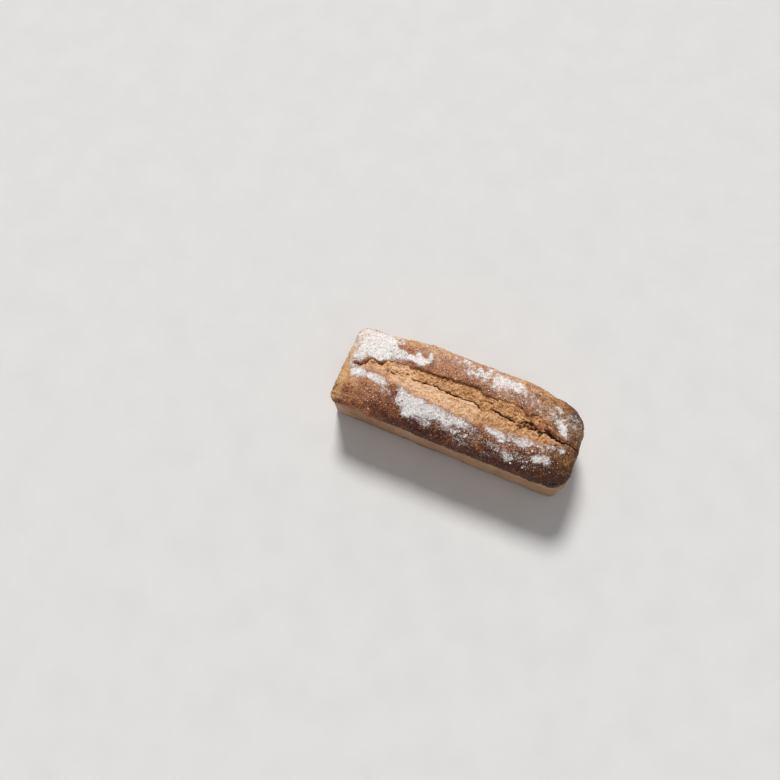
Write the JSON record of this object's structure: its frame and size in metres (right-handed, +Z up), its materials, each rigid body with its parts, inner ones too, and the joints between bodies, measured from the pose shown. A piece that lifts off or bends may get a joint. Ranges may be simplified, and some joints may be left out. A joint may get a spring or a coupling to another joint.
{
  "type": "tin loaf",
  "caption": "Long rustic bread baked in a tin: straight pale sides, a domed brown crust dusted with flour, and a torn lengthwise split",
  "frame": {"origin": "middle of the underside, on the surface that the loaf lies on", "axes": "+X runs along the loaf towards the end where the split is deepest, +Y to the long side behind the raised lip, +Z up through the split"},
  "size_m": [0.3002, 0.1154, 0.0905],
  "materials": {
    "crust": "matte",
    "crumb": "matte",
    "flour": "matte"
  },
  "bodies": {
    "root": {"loaf": "crust"}
  },
  "joints": []
}
